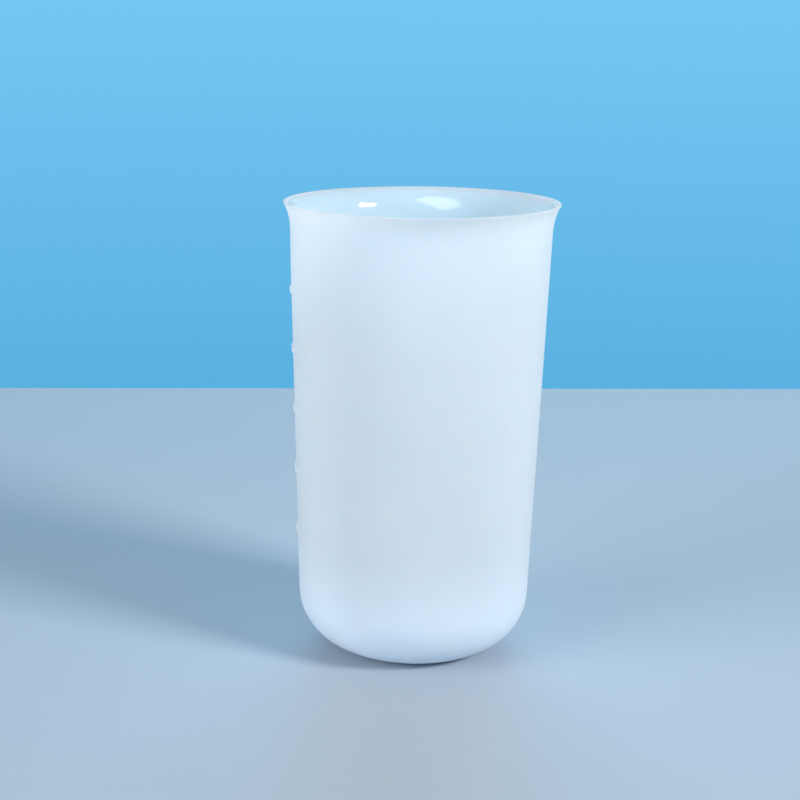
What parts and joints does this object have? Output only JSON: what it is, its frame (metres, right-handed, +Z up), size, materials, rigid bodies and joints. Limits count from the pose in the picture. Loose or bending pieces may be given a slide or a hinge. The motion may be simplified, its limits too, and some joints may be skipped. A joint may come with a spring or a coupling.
{
  "type": "resin mixing cup",
  "caption": "Soft translucent measuring and mixing cup with a tapered wall, flared lip, large base round, bowl-shaped inside and a raised volume scale.",
  "frame": {"origin": "centre of the flat foot, on the surface that the cup stands on", "axes": "+Z up along the cup's axis, -X towards the middle of the raised scale, -Y towards the picture's camera"},
  "size_m": [0.055, 0.055, 0.092],
  "materials": {
    "silicone": "milky translucent silicone rubber, satin outside and glossy inside"
  },
  "bodies": {
    "root": {"cup_body": "silicone", "mark_10_ml": "silicone", "mark_20_ml": "silicone", "mark_30_ml": "silicone", "mark_40_ml": "silicone", "mark_50_ml": "silicone", "mark_60_ml": "silicone", "mark_70_ml": "silicone", "mark_80_ml": "silicone", "mark_90_ml": "silicone", "mark_100_ml": "silicone"}
  },
  "joints": []
}
